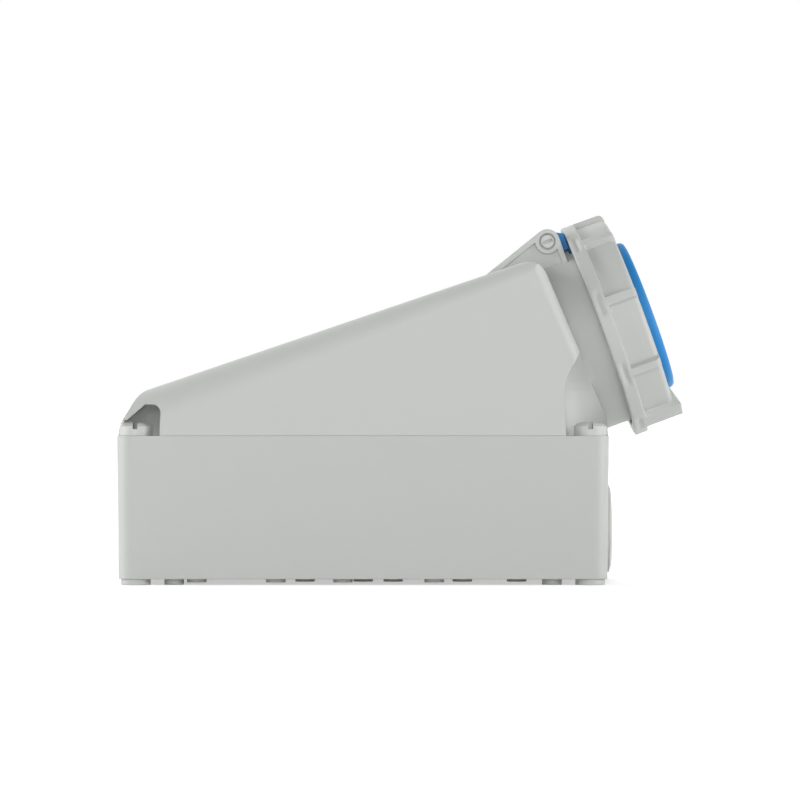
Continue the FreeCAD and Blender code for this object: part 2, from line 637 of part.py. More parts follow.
def hood():
    """Sloping cover with the collar, the hinge ears and the screw pockets."""
    skin_body = hood_envelope("hood_outer", "0")
    ears = [ear("ear_near", "-ear_outer", "-ear_outer - 1"),
            ear("ear_far", "ear_outer - ear_thickness", "ear_outer - ear_recess")]
    between = "(ear_outer - ear_thickness + 1)"
    rim = cut("collar_rim", mouth_drum("collar_rim_disc", "collar_radius", "-collar_gap", "collar_front"),
              block("collar_rim_gap", ("collar_radius", f"2 * {between}", "2 * (collar_gap + collar_front)"),
                    ("-collar_radius", f"-{between}", "-2 * collar_gap")))
    bosses = [drum(f"carrier_boss_{index}", "carrier_tab", "carrier_boss",
                   (*place, "-neck_rear - carrier_gasket")) for index, place in enumerate(screw_circle())]
    collar = seat(fuse("collar", mouth_drum("collar_sleeve", "collar_radius", "-collar_root", "-collar_gap"),
                       mouth_drum("collar_neck", "neck_radius", "-neck_rear", "neck_front"), rim, *bosses))
    cams = seat(fuse("cams", *[sector(f"cam_{index}", "neck_radius - 1", "cam_radius", "cam_rear",
                                      "cam_thick", middle, "cam_angle")
                               for index, middle in enumerate(("-90 - lock_turn / 2",
                                                               "90 - lock_turn / 2"))]))
    inside = cut("hood_inside", hood_envelope("hood_inner", "hood_wall"),
                 pockets("pocket_walls", "hood_wall"))
    shell = cut("hood_shell", fuse("hood_mass", skin_body, *ears), inside)
    lip_outer = box_loop("lip_outer", "(skin + slack)", "(column_radius + slack)",
                         f"{REBATE} + gasket_height", "rebate_depth - gasket_height")
    lip_inner = box_loop("lip_inner", "box_wall", LEDGE_RADIUS, f"{REBATE} + gasket_height",
                         "rebate_depth - gasket_height")
    plate = common("lip_plates",
                   plate_prism("lip_plan", "box_length - 2 * (skin + slack)",
                               "box_width - 2 * (skin + slack)", "box_corner - skin",
                               "box_top - plate_depth", "plate_depth"),
                   four("lip_discs", "pocket_radius + hood_wall", "plate_depth",
                        SCREW_X, SCREW_Y, "box_top - plate_depth"))
    lip = fuse("lip", cut("lip_ring", lip_outer, lip_inner), plate)
    body = fuse("hood_body", shell, collar, cams, lip)
    bore = seat(wrapped(mouth_drum("mouth_bore_tool", "mouth_bore", "-neck_rear - 1", "neck_front + 1")))
    seating = seat(wrapped(mouth_drum("carrier_seat", "carrier_flange + slack",
                                      "-neck_rear - carrier_gasket - 1", "-neck_rear")))
    pilots = seat(fuse("pilot_holes", *[drum(f"pilot_hole_{index}", "carrier_screw + slack / 2",
                                             "carrier_screw_length",
                                             (*place, "-neck_rear - carrier_gasket - 1"))
                                        for index, place in enumerate(screw_circle())]))
    flat = seat(wrapped(block("hinge_flat", ("flat_depth", f"2 * {between}", "neck_front + flat_rear"),
                              ("-neck_radius - flat_depth", f"-{between}", "-flat_rear"))))
    holes = four("hood_screw_holes", "shank_radius + shank_way", "2 * box_wall", SCREW_X, SCREW_Y,
                 "box_top - box_wall")
    pin = drum("hinge_hole", "pin_radius + slack / 2", "3 * ear_outer",
               (HINGE_X, "-1.5 * ear_outer", HINGE_Z), "Y")
    recess = [drum("pin_recess_near", "pin_recess", "recess_depth", (HINGE_X, "-ear_outer", HINGE_Z), "Y"),
              drum("pin_recess_far", "pin_recess", "recess_depth",
                   (HINGE_X, "ear_outer - recess_depth", HINGE_Z), "Y")]
    return cut("hood", body, pockets("pocket_tools", "0"), bore, seating, pilots, flat, holes, pin,
               *recess)


def cover_screw(name, place):
    """Large slotted screw with a domed head and a plain shank."""
    item = turned(f"{name}_blank",
                  [("0", "-plate_depth - insert_length + 2"),
                   ("shank_radius", "-plate_depth - insert_length + 2"),
                   ("shank_radius", "0"), ("head_radius", "0"), ("head_radius", "head_rim"),
                   ("head_radius * 0.8", "head_height - 0.9"), ("head_radius * 0.45", "head_height - 0.2"),
                   ("0", "head_height")])
    slot = block(f"{name}_slot", ("slot_width", "4 * head_radius", "slot_depth"),
                 ("-slot_width / 2", "-2 * head_radius", "head_height - slot_depth"))
    return put(cut(name, item, slot), (place[0], place[1], "box_top"))


def screw_insert(name, place):
    """Brass bush in a corner column that takes the cover screw."""
    height = "(insert_length - slack)"
    ring = turned(name, [("shank_radius + slack / 2", "0"), ("insert_radius - slack / 4", "0"),
                         ("insert_radius - slack / 4", height), ("shank_radius + slack / 2", height)])
    return put(ring, (place[0], place[1], "box_top - plate_depth - insert_length"))


def entry_plug():
    """Blanking plug with a domed head for the spare cable entry."""
    item = turned("entry_plug",
                  [("entry_radius - plug_wall", "-entry_depth"), ("entry_radius - slack / 2", "-entry_depth"),
                   ("entry_radius - slack / 2", "washer_thick"), ("plug_head", "washer_thick"),
                   ("plug_head", "plug_rim"), ("plug_head * 0.9", "plug_rim + 1"),
                   ("plug_head * 0.5", "plug_dome - 0.3"), ("0", "plug_dome"), ("0", "plug_dome - 3"),
                   ("entry_radius - plug_wall", "plug_dome - 3")])
    item.Placement = Placement(Vector(), TURNS["X"])
    return put(item, (PLUG_X, "0", "entry_z"))


def entry_plug_seal():
    """Flat washer under the head of the blanking plug."""
    item = turned("entry_plug_seal", [("entry_radius + slack", "0"), ("plug_head - 0.6", "0"),
                                      ("plug_head - 0.6", "washer_thick"),
                                      ("entry_radius + slack", "washer_thick")])
    item.Placement = Placement(Vector(), TURNS["X"])
    return put(item, (PLUG_X, "0", "entry_z"))


def hinge_pin():
    """Headed pin through both ears and the barrel of the lid."""
    shank = drum("pin_shank", "pin_radius", "2 * ear_outer - recess_depth",
                 (HINGE_X, "recess_depth - ear_outer", HINGE_Z), "Y")
    head = drum("pin_head_disc", "pin_head", "recess_depth - head_gap",
                (HINGE_X, "head_gap - ear_outer", HINGE_Z), "Y")
    return fuse("hinge_pin", shank, head)


def hinge_clip():
    """Push-on washer that holds the far end of the hinge pin."""
    item = cut("hinge_clip",
               drum("clip_disc", "pin_head", "recess_depth - 2 * head_gap",
                    (HINGE_X, "ear_outer - recess_depth", HINGE_Z), "Y"),
               drum("clip_hole", "pin_radius", "2 * recess_depth",
                    (HINGE_X, "ear_outer - 1.5 * recess_depth", HINGE_Z), "Y"))
    return item


CONTACTS = (
    ("earth_contact", "earth_bore", "0"),
    ("line_contact", "power_bore", "power_angle"),
    ("neutral_contact", "power_bore", "-power_angle"),
)
CARRIER_REAR = "(-neck_rear - carrier_gasket - carrier_flange_thick)"


def contact_place(angle):
    """Place of a contact in the mouth frame, by its angle from the bottom."""
    return (f"pin_circle * cos({angle} * 1 deg)", f"pin_circle * sin({angle} * 1 deg)")


def screw_circle():
    """Places of the four carrier screws in the mouth frame."""
    return [(f"carrier_screw_circle * cos({angle} deg)", f"carrier_screw_circle * sin({angle} deg)")
            for angle in CARRIER_ANGLES]


def carrier_screws():
    """The four screws that hold the carrier in the hood."""
    made = []
    for index, place in enumerate(screw_circle()):
        item = turned(f"carrier_screw_{index}",
                      [("0", "-carrier_head_thick"), ("carrier_head", "-carrier_head_thick"),
                       ("carrier_head", "0"), ("carrier_screw", "0"),
                       ("carrier_screw", "carrier_screw_length"), ("0", "carrier_screw_length")])
        made.append(put(item, (*place, CARRIER_REAR)))
    node = doc.addObject("Part::Compound", "carrier_screws")
    node.Links = made
    return seat(node)


def contact_carrier():
    """Insulating block that holds the contact sleeves in the mouth."""
    body = turned("carrier_body",
                  [("0", f"{CARRIER_REAR} - carrier_tail_length"),
                   ("carrier_tail", f"{CARRIER_REAR} - carrier_tail_length"),
                   ("carrier_tail", CARRIER_REAR), ("carrier_flange", CARRIER_REAR),
                   ("carrier_flange", "-neck_rear - carrier_gasket"),
                   ("carrier_radius", "-neck_rear - carrier_gasket"), ("carrier_radius", "-1"),
                   ("carrier_radius - 1", "0"), ("0", "0")])
    tabs = [drum(f"carrier_tab_{index}", "carrier_tab", "carrier_flange_thick", (*place, CARRIER_REAR))
            for index, place in enumerate(screw_circle())]
    bores = [drum(f"carrier_bore_{name}", f"{bore} + sleeve_wall", "2 * neck_rear",
                  (*contact_place(angle), "-2 * neck_rear"))
             for name, bore, angle in CONTACTS]
    bores.append(drum("carrier_bore_pilot", "pilot_bore + sleeve_wall", "2 * neck_rear",
                      ("0", "0", "-2 * neck_rear")))
    holes = [drum(f"carrier_hole_{index}", "carrier_screw + slack", "4 * carrier_flange_thick",
                  (*place, f"{CARRIER_REAR} - carrier_flange_thick"))
             for index, place in enumerate(screw_circle())]
    key = block("carrier_key", ("key_depth * 2", "key_width", "neck_rear"),
                ("carrier_radius - key_depth", "-key_width / 2", "-neck_rear"))
    ways = [clamp_hole(f"carrier_way_{name}", "clamp_screw + clamp_way", angle)
            for name, bore, angle in CONTACTS]
    return seat(cut("contact_carrier", fuse("carrier_blank", body, *tabs), *bores, *holes, key, *ways))


def clamp_hole(name, radius, angle):
    """Radial hole in the tail of the carrier for one clamp screw."""
    item = drum(name, radius, "carrier_tail", ("0", "0", "0"), "X")
    item.Placement = Placement(Vector(), Rotation(Vector(0, 0, 1), size(angle)) * TURNS["X"])
    return put(item, (*contact_place(angle), f"{CARRIER_REAR} - carrier_tail_length / 2"))


def contacts():
    """The four contact sleeves, each a node of its own."""
    made = []
    for name, bore, angle in CONTACTS + (("pilot_contact", "pilot_bore", "0"),):
        outer = f"({bore} + sleeve_wall)"
        tail = f"({CARRIER_REAR} - carrier_tail_length)"
        body = turned(f"{name}_body",
                      [("0", tail), (outer, tail), (outer, "-sleeve_recess"), (bore, "-sleeve_recess"),
                       (bore, "-sleeve_depth"), ("0", "-sleeve_depth")])
        tools = [drum(f"{name}_wire", f"{bore} - 1", "carrier_tail_length", ("0", "0", f"{tail} - 1"))]
        if name != "pilot_contact":
            tools.append(drum(f"{name}_tap", "clamp_screw + slack / 2", "carrier_tail",
                              ("0", "0", f"{CARRIER_REAR} - carrier_tail_length / 2"), "X"))
        sleeve = cut(f"{name}_sleeve", body, *tools)
        sleeve.Placement = Placement(Vector(), Rotation(Vector(0, 0, 1), size(angle)))
        if name != "pilot_contact":
            put(sleeve, (*contact_place(angle), "0"))
        node = wrapped(sleeve)
        node.Label = name
        made.append(seat(node))
    return made


def clamp_screws():
    """One clamp screw for each power and earth contact."""
    made = []
    for name, bore, angle in CONTACTS:
        item = drum(f"clamp_{name}", "clamp_screw", "clamp_length", ("0", "0", "0"), "X")
        item.Placement = Placement(Vector(), Rotation(Vector(0, 0, 1), size(angle)) * TURNS["X"])
        reach = f"(pin_circle + {bore} - 1)"
        made.append(put(item, (f"{reach} * cos({angle} * 1 deg)", f"{reach} * sin({angle} * 1 deg)",
                               f"{CARRIER_REAR} - carrier_tail_length / 2")))
    node = doc.addObject("Part::Compound", "clamp_screws")
    node.Links = made
    return seat(node)


def carrier_gasket():
    """Flat ring between the carrier flange and the neck."""
    return seat(turned("carrier_gasket",
                       [("mouth_bore + slack", "-neck_rear - carrier_gasket"),
                        ("carrier_flange", "-neck_rear - carrier_gasket"),
                        ("carrier_flange", "-neck_rear"), ("mouth_bore + slack", "-neck_rear")]))


def lid():
    """Blue lid: a cup with a flange, and an arm that ends in the hinge barrel."""
    flange_front = "(lid_rear + lid_flange_thick)"
    cup = turned("lid_cup",
                 [("lid_radius - lid_skin", "lid_rear"), ("seal_inner", "lid_rear"),
                  ("seal_inner", "lid_rear + seal_bed"), ("seal_outer", "lid_rear + seal_bed"),
                  ("seal_outer", "lid_rear"), ("lid_flange", "lid_rear"), ("lid_flange", flange_front),
                  ("lid_radius", flange_front), ("lid_radius", "lid_front - lid_round"),
                  ("lid_radius - lid_round * 0.134", "lid_front - lid_round * 0.5"),
                  ("lid_radius - lid_round * 0.5", "lid_front - lid_round * 0.134"),
                  ("lid_radius - lid_round", "lid_front"), ("0", "lid_front"),
                  ("0", "lid_front - lid_skin"), ("lid_radius - lid_skin", "lid_front - lid_skin")])
    strap = common("lid_strap",
                   turned("lid_strap_ring",
                          [("arm_inner", "-0.5"), ("lid_flange", "-0.5"), ("lid_flange", "clip_rear - 0.6"),
                           ("clip_inner - 0.4", "clip_rear - 0.6"), ("clip_inner - 0.4", "lid_rear + 0.5"),
                           ("arm_inner", "lid_rear + 0.5")]),
                   block("lid_strap_room", ("lid_flange", "arm_width", "2 * lid_front"),
                         ("-lid_flange", "-arm_width / 2", "-lid_front")))
    link = side_prism("lid_link",
                      [("-arm_inner", "-hinge_axial"), ("-hinge_radial - barrel_radius", "-hinge_axial"),
                       ("-hinge_radial - 4", "-hinge_axial + 4"), ("-hinge_radial - 1.4", "-0.5"),
                       ("-arm_inner", "-0.5")], "-arm_width / 2", "arm_width")
    barrel = drum("lid_barrel", "barrel_radius", "barrel_width",
                  ("-hinge_radial", "-barrel_width / 2", "-hinge_axial"), "Y")
    bore = drum("lid_barrel_bore", "pin_radius + slack / 2", "2 * barrel_width",
                ("-hinge_radial", "-barrel_width", "-hinge_axial"), "Y")
    return seat(cut("lid", fuse("lid_blank", cup, strap, link, barrel), bore))


def lid_seal():
    """Soft ring in the lid that closes on the front of the neck."""
    return seat(turned("lid_seal",
                       [("seal_inner", "seal_rear"), ("seal_outer", "seal_rear"),
                        ("seal_outer", "lid_rear + seal_bed"), ("seal_inner", "lid_rear + seal_bed")]))


def rib_angles():
    """Angles of the grip ribs in the mouth frame, whose zero points down."""
    step = 360 / size("rib_count")
    return [size("rib_first") - 90 + index * step for index in range(int(size("rib_count")))]


def bayonet_ring():
    """Locking ring with grip ribs outside, two claws inside and one long lug."""
    clip_front = "(clip_rear + clip_thick + slack)"
    body = turned("ring_body_turn",
                  [("ring_bore", "0"), ("ring_radius - 0.8", "0"), ("ring_radius", "0.8"),
                   ("ring_radius", "ring_band - 1.6"), ("ring_radius - 0.6", "ring_band - 0.4"),
                   ("ring_body", "ring_band + 0.4"), ("ring_body", "ring_width - ring_round"),
                   ("ring_body - ring_round * 0.134", "ring_width - ring_round * 0.5"),
                   ("ring_body - ring_round * 0.5", "ring_width - ring_round * 0.134"),
                   ("ring_body - ring_round", "ring_width"), ("ring_window", "ring_width"),
                   ("ring_window", "ring_width - ring_front"), ("ring_bore", "ring_width - ring_front"),
                   ("ring_bore", clip_front), ("ring_bore + 0.8", clip_front),
                   ("ring_bore + 0.8", "clip_rear - slack"), ("ring_bore", "clip_rear - slack")])
    rib_form = turned("rib_form",
                      [("ring_body - 1", "ring_band - 3"), ("ring_radius", "ring_band - 3"),
                       ("ring_radius", "ring_width - ring_round"),
                       ("ring_radius - ring_round * 0.134", "ring_width - ring_round * 0.5"),
                       ("ring_radius - ring_round * 0.5", "ring_width - ring_round * 0.134"),
                       ("ring_radius - ring_round", "ring_width"),
                       ("ring_body - ring_round", "ring_width"),
                       ("ring_body - 1", "ring_width - ring_round")])
    bars = []
    for index, angle in enumerate(rib_angles()):
        bar = block(f"rib_{index}", ("2 * ring_radius", "rib_width", "2 * ring_width"),
                    ("rib_width / 2 * sin(%r deg)" % angle, "-rib_width / 2 * cos(%r deg)" % angle,
                     "-ring_width"))
        bar.Placement = Placement(Vector(), Rotation(Vector(0, 0, 1), angle))
        bars.append(bar)
    ribs = common("ribs", fuse("rib_bars", *bars), rib_form)
    lug = sector("long_lug", "ring_body - 1", "ring_radius", "ring_band - 3",
                 "ring_width + lug_proud - ring_band + 3", "rib_first - 90", "lug_width")
    nose = sector("long_lug_nose", "ring_window + 4", "ring_radius", "ring_width - 1",
                  "lug_proud + 1", "rib_first - 90", "lug_width")
    claws = [sector(f"claw_{index}", "claw_inner", "ring_bore + 1", "claw_rear", "claw_thick",
                    middle, "claw_angle")
             for index, middle in enumerate(("lock_turn / 2 - 90", "lock_turn / 2 + 90"))]
    return seat(fuse("bayonet_ring", body, ribs, lug, nose, *claws))


def ring_clip():
    """Split spring ring that keeps the lid flange in the bayonet ring."""
    ring = turned("ring_clip_turn",
                  [("clip_inner", "clip_rear"), ("ring_bore + 0.6", "clip_rear"),
                   ("ring_bore + 0.6", "clip_rear + clip_thick"), ("clip_inner", "clip_rear + clip_thick")])
    gap = block("ring_clip_gap", ("2 * ring_bore", "4", "2 * ring_width"), ("0", "-2", "-ring_width"))
    return seat(cut("ring_clip", ring, gap))


NODES = [
    back_box(),
    housing_gasket(),
    hood(),
    copies("cover_screws", cover_screw, SCREW_X, SCREW_Y),
    copies("screw_inserts", screw_insert, SCREW_X, SCREW_Y),
    entry_plug(),
    entry_plug_seal(),
    hinge_pin(),
    hinge_clip(),
    contact_carrier(),
    carrier_screws(),
    carrier_gasket(),
    *contacts(),
    clamp_screws(),
    lid(),
    lid_seal(),
    bayonet_ring(),
    ring_clip(),
]


def check_and_write():
    """Recompute, check every object and write one file for each node."""
    doc.recompute()
    for item in doc.Objects:
        if "Invalid" in item.State or "Error" in item.State:
            raise RuntimeError(f"{item.Label} did not build: {item.State}")
    os.makedirs("parts", exist_ok=True)
    for node in NODES:
        shape = node.Shape
        if shape.isNull() or not shape.isValid():
            raise RuntimeError(f"{node.Label} has no valid shape")
        shape.exportStep(f"parts/{node.Label}.step")
        box = shape.BoundBox
        print(f"{node.Label}: {len(shape.Solids)} solids, {shape.Volume:.0f} mm3, "
              f"x {box.XMin:.1f}..{box.XMax:.1f}, y {box.YMin:.1f}..{box.YMax:.1f}, "
              f"z {box.ZMin:.1f}..{box.ZMax:.1f}")


check_and_write()
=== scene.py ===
"""Looks of a surface-mounted industrial wall socket: finishes, fine details, camera and light.

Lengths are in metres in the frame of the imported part: +Z points away from the wall, +X runs along the
housing towards the mouth. Sizes in the classes are written in millimetres and scaled by MM.
"""
import json
import logging
import math
from dataclasses import dataclass
from enum import Enum
from typing import Sequence

import bmesh
import bpy
import numpy as np
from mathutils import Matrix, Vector


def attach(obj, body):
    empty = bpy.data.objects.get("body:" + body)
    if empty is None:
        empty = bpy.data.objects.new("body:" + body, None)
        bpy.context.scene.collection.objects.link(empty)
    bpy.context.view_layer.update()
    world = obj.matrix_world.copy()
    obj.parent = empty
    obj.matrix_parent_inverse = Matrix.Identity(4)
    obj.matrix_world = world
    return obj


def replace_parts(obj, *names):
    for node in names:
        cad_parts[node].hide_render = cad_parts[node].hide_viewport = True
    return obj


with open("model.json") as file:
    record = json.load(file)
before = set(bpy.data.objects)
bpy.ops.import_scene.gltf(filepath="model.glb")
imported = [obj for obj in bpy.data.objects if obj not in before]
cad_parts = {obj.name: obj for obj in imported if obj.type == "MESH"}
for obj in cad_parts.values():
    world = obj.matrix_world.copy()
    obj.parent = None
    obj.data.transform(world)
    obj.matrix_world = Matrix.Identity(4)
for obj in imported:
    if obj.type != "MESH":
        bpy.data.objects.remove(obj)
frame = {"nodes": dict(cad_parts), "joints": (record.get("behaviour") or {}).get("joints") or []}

MM = 0.001
# height of the seam between back box and hood; the housing gets painted shade below it
SEAM_HEIGHT_MM = 73.5
WELD_MM = 0.002
EDGE_SAMPLES = 6
LOG = logging.getLogger("wall_socket")
JOINTS = {joint["name"]: joint for joint in frame["joints"]}

Rows = np.ndarray
Triple = tuple[float, float, float]
Pair = tuple[float, float]
Steps = tuple[float, ...]
Offsets = tuple[Pair, ...]


class Level:
    """A shader socket that understands arithmetic, so that masks are written as expressions."""

    def __init__(self, board: "Board", link: bpy.types.NodeSocket) -> None:
        """Keep the socket and the board that it belongs to.

        Args:
            board: the node tree builder.
            link: the output socket that carries the value.
        """
        self.board = board
        self.link = link

    def _maths(self, operation: str, *values: "Level | float") -> "Level":
        """Add one Math node."""
        return self.board.node("ShaderNodeMath", {"operation": operation}, dict(enumerate(values)))

    def __add__(self, other: "Level | float") -> "Level":
        """Sum."""
        return self._maths("ADD", self, other)

    def __radd__(self, other: float) -> "Level":
        """Sum with a number in front."""
        return self._maths("ADD", other, self)

    def __sub__(self, other: "Level | float") -> "Level":
        """Difference."""
        return self._maths("SUBTRACT", self, other)

    def __rsub__(self, other: float) -> "Level":
        """Difference with a number in front."""
        return self._maths("SUBTRACT", other, self)

    def __mul__(self, other: "Level | float") -> "Level":
        """Product."""
        return self._maths("MULTIPLY", self, other)

    def __rmul__(self, other: float) -> "Level":
        """Product with a number in front."""
        return self._maths("MULTIPLY", other, self)

    def clipped(self) -> "Level":
        """The value kept between 0 and 1."""
        return self.board.node("ShaderNodeClamp", {}, {"Value": self})


class Board:
    """Builds the node tree of one material or of the world."""

    def __init__(self, owner: bpy.types.Material | bpy.types.World) -> None:
        """Start an empty tree.

        Args:
            owner: the material or world that holds the tree.
        """
        self.owner = owner
        owner.use_nodes = True
        self.tree = owner.node_tree
        self.tree.nodes.clear()

    def node(self, kind: str, settings: dict, inputs: dict, output: int | str = 0) -> Level:
        """Add one node.

        Args:
            kind: the node's type.
            settings: attributes that are set before its sockets.
            inputs: socket name or index to a value or a Level.
            output: the output that is handed back.

        Returns:
            The chosen output.
        """
        made = self.tree.nodes.new(kind)
        for name, value in settings.items():
            setattr(made, name, value)
        for name, value in inputs.items():
            socket = made.inputs[name]
            if isinstance(value, Level):
                self.tree.links.new(value.link, socket)
            else:
                socket.default_value = value
        return Level(self, made.outputs[output])

    def finish(self, kind: str, shader: Level) -> None:
        """Link a shader to the output node of the given kind."""
        end = self.tree.nodes.new(kind)
        self.tree.links.new(shader.link, end.inputs["Surface"])

    def spot(self) -> Level:
        """Object coordinates."""
        return self.node("ShaderNodeTexCoord", {}, {}, "Object")

    def noise(self, spot: Level, scale: float, detail: float = 2.0) -> Level:
        """Cloudy noise about 0.5, with a scale in spots for each metre."""
        return self.node("ShaderNodeTexNoise", {}, {"Vector": spot, "Scale": scale, "Detail": detail})

    def mixed(self, share: Level, low: Sequence[float], high: Sequence[float]) -> Level:
        """Mix of two colours by a share."""
        return self.node("ShaderNodeMix", {"data_type": "RGBA"},
                         {0: share, 6: (*low, 1.0), 7: (*high, 1.0)}, 2)

    def bump(self, height: Level, distance: float, normal: Level) -> Level:
        """Normal tilted by a height in metres of the given distance."""
        return self.node("ShaderNodeBump", {}, {"Height": height, "Distance": distance, "Normal": normal})

    def rounded(self, radius: float) -> Level:
        """Normal softened across sharp edges over a radius in metres."""
        return self.node("ShaderNodeBevel", {"samples": EDGE_SAMPLES}, {"Radius": radius})

    def camera_share(self) -> Level:
        """One where the camera, a mirror or glass looks straight at the surface, otherwise zero.

        Returns:
            The share, kept between 0 and 1.
        """
        rays = ("Is Camera Ray", "Is Glossy Ray", "Is Transmission Ray")
        seen = [self.node("ShaderNodeLightPath", {}, {}, ray) for ray in rays]
        return (seen[0] + seen[1] + seen[2]).clipped()


def shade(colour: Sequence[float], factor: float) -> tuple[float, ...]:
    """A colour made lighter or darker by a factor."""
    return tuple(channel * factor for channel in colour)


@dataclass(frozen=True)
class MouldedPlastic:
    """Injection-moulded plastic with a fine spark-eroded grain and softened edges.

    Below a stated height the colour is painted a little darker: painted shade that stands in for the back
    box getting less light from above than the hood.
    """

    name: str
    colour: Triple
    roughness: float = 0.45
    roughness_range: float = 0.1
    grain_mm: float = 0.5
    relief_mm: float = 0.02
    edge_mm: float = 0.45
    clouds: float = 0.015
    cloud_scale: float = 28.0
    cloud_share: float = 0.6
    refraction: float = 1.46
    # painted shade: below this height the colour is darkened by this share, standing in for less light on
    # the back box
    painted_shade_below_mm: float = 0.0
    painted_shade_by: float = 0.035

    def make(self) -> bpy.types.Material:
        """Colour and gloss drift a little over the surface, and the grain tilts the normal.

        Returns:
            The material.
        """
        board = Board(bpy.data.materials.new(self.name))
        spot = board.spot()
        drift = board.noise(spot, self.cloud_scale, 3.0)
        grain = board.noise(spot, 1.0 / (self.grain_mm * MM), 2.0)
        share = drift * self.cloud_share + grain * (1.0 - self.cloud_share)
        colour = board.mixed(share, shade(self.colour, 1 - self.clouds), shade(self.colour, 1 + self.clouds))
        # painted shade: below the seam height the colour is multiplied down a little, standing in for less
        # light on the back box
        height = board.node("ShaderNodeSeparateXYZ", {}, {0: spot}, 2)
        below = board.node("ShaderNodeMath", {"operation": "LESS_THAN"},
                           {0: height, 1: self.painted_shade_below_mm * MM})
        colour = board.node("ShaderNodeMix", {"data_type": "RGBA", "blend_type": "MULTIPLY"},
                            {0: below * self.painted_shade_by, 6: colour, 7: (0.0, 0.0, 0.0, 1.0)}, 2)
        normal = board.bump(grain, self.relief_mm * MM, board.rounded(self.edge_mm * MM))
        rough = share * self.roughness_range + (self.roughness - self.roughness_range / 2)
        shader = board.node("ShaderNodeBsdfPrincipled", {},
                            {"Base Color": colour, "Roughness": rough, "Normal": normal,
                             "IOR": self.refraction})
        board.finish("ShaderNodeOutputMaterial", shader)
        return board.owner


@dataclass(frozen=True)
class SoftRubber:
    """Matt sealing rubber with a dusty bloom."""

    name: str
    colour: Triple
    bloom_scale: float = 160.0
    bloom_factor: float = 1.8
    pore_scale: float = 1800.0
    pore_relief_mm: float = 0.03
    edge_mm: float = 0.3
    roughness: float = 0.62
    roughness_range: float = 0.2

    def make(self) -> bpy.types.Material:
        """A fine noise mixes the bloom over the dark rubber and roughens it.

        Returns:
            The material.
        """
        board = Board(bpy.data.materials.new(self.name))
        spot = board.spot()
        bloom = board.noise(spot, self.bloom_scale, 4.0)
        pores = board.noise(spot, self.pore_scale, 1.0)
        colour = board.mixed(bloom, self.colour, shade(self.colour, self.bloom_factor))
        normal = board.bump(pores, self.pore_relief_mm * MM, board.rounded(self.edge_mm * MM))
        rough = bloom * self.roughness_range + self.roughness
        shader = board.node("ShaderNodeBsdfPrincipled", {},
                            {"Base Color": colour, "Roughness": rough, "Normal": normal})
        board.finish("ShaderNodeOutputMaterial", shader)
        return board.owner


@dataclass(frozen=True)
class TurnedMetal:
    """Turned or plated metal with fine tool marks that lie level with the wall."""

    name: str
    colour: Triple
    roughness: float
    roughness_range: float = 0.2
    mark_scale: float = 420.0
    mark_stretch: float = 14.0
    mark_relief_mm: float = 0.01
    tarnish_scale: float = 120.0
    tarnish_factor: float = 0.86
    edge_mm: float = 0.2

    def make(self) -> bpy.types.Material:
        """Noise pressed flat along Z gives the tool marks, a slow noise the tarnish.

        Returns:
            The material.
        """
        board = Board(bpy.data.materials.new(self.name))
        stretched = board.node("ShaderNodeMapping", {},
                               {"Vector": board.spot(), "Scale": (1.0, 1.0, self.mark_stretch)})
        marks = board.noise(stretched, self.mark_scale, 2.0)
        tarnish = board.noise(board.spot(), self.tarnish_scale, 3.0)
        colour = board.mixed(tarnish, shade(self.colour, self.tarnish_factor), self.colour)
        normal = board.bump(marks, self.mark_relief_mm * MM, board.rounded(self.edge_mm * MM))
        rough = marks * self.roughness_range + (self.roughness - self.roughness_range / 2)
        shader = board.node("ShaderNodeBsdfPrincipled", {},
                            {"Base Color": colour, "Roughness": rough, "Metallic": 1.0, "Normal": normal})
        board.finish("ShaderNodeOutputMaterial", shader)
        return board.owner


class Slot(Enum):
    """The material slots of the record."""

    HOUSING = "housing_grey"
    RING = "ring_grey"
    LID = "lid_blue"
    SCREW = "screw_grey"
    SEAL = "seal_black"
    CARRIER = "carrier_grey"
    BRASS = "contact_brass"
    STEEL = "plated_steel"


FINISHES = {
    # the housing gets painted shade below the seam, standing in for less light on the back box
    Slot.HOUSING: MouldedPlastic("housing_plastic", (0.622, 0.638, 0.614), edge_mm=0.8,
                                 painted_shade_below_mm=SEAM_HEIGHT_MM),
    Slot.RING: MouldedPlastic("ring_plastic", (0.606, 0.621, 0.598), roughness=0.40, grain_mm=0.4,
                              relief_mm=0.012, edge_mm=0.35),
    Slot.LID: MouldedPlastic("lid_plastic", (0.020, 0.262, 0.66), roughness=0.5, grain_mm=0.35,
                             relief_mm=0.006, edge_mm=0.4, clouds=0.03),
    Slot.SCREW: MouldedPlastic("screw_plastic", (0.650, 0.665, 0.642), roughness=0.38, grain_mm=0.4,
                               relief_mm=0.010, edge_mm=0.4),
    Slot.SEAL: SoftRubber("seal_rubber", (0.022, 0.022, 0.024)),
    Slot.CARRIER: MouldedPlastic("carrier_plastic", (0.19, 0.20, 0.205), roughness=0.5, grain_mm=0.6),
    Slot.BRASS: TurnedMetal("contact_brass_metal", (0.78, 0.60, 0.30), 0.28),
    Slot.STEEL: TurnedMetal("plated_steel_metal", (0.66, 0.66, 0.65), 0.32),
}


class Paint:
    """Hands out the finish of each slot, made once."""

    def __init__(self) -> None:
        """Make every finish."""
        self.made = {slot: finish.make() for slot, finish in FINISHES.items()}

    def node(self, name: str, slot: Slot) -> None:
        """Give a node of the part its finish and report it.

        Args:
            name: the node's name.
            slot: the record's slot.
        """
        slots = frame["nodes"][name].data.materials
        slots.clear()
        slots.append(self.made[slot])
        LOG.info("node %s in %s", name, slot.value)

    def piece(self, item: bpy.types.Object, slot: Slot, body: str) -> bpy.types.Object:
        """Give a new piece its finish, let it ride on a body and report it.

        Args:
            item: the piece.
            slot: the record's slot.
            body: the body that it moves with.

        Returns:
            The piece.
        """
        item.data.materials.append(self.made[slot])
        LOG.info("piece %s in %s on %s", item.name, slot.value, body)
        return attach(item, body)


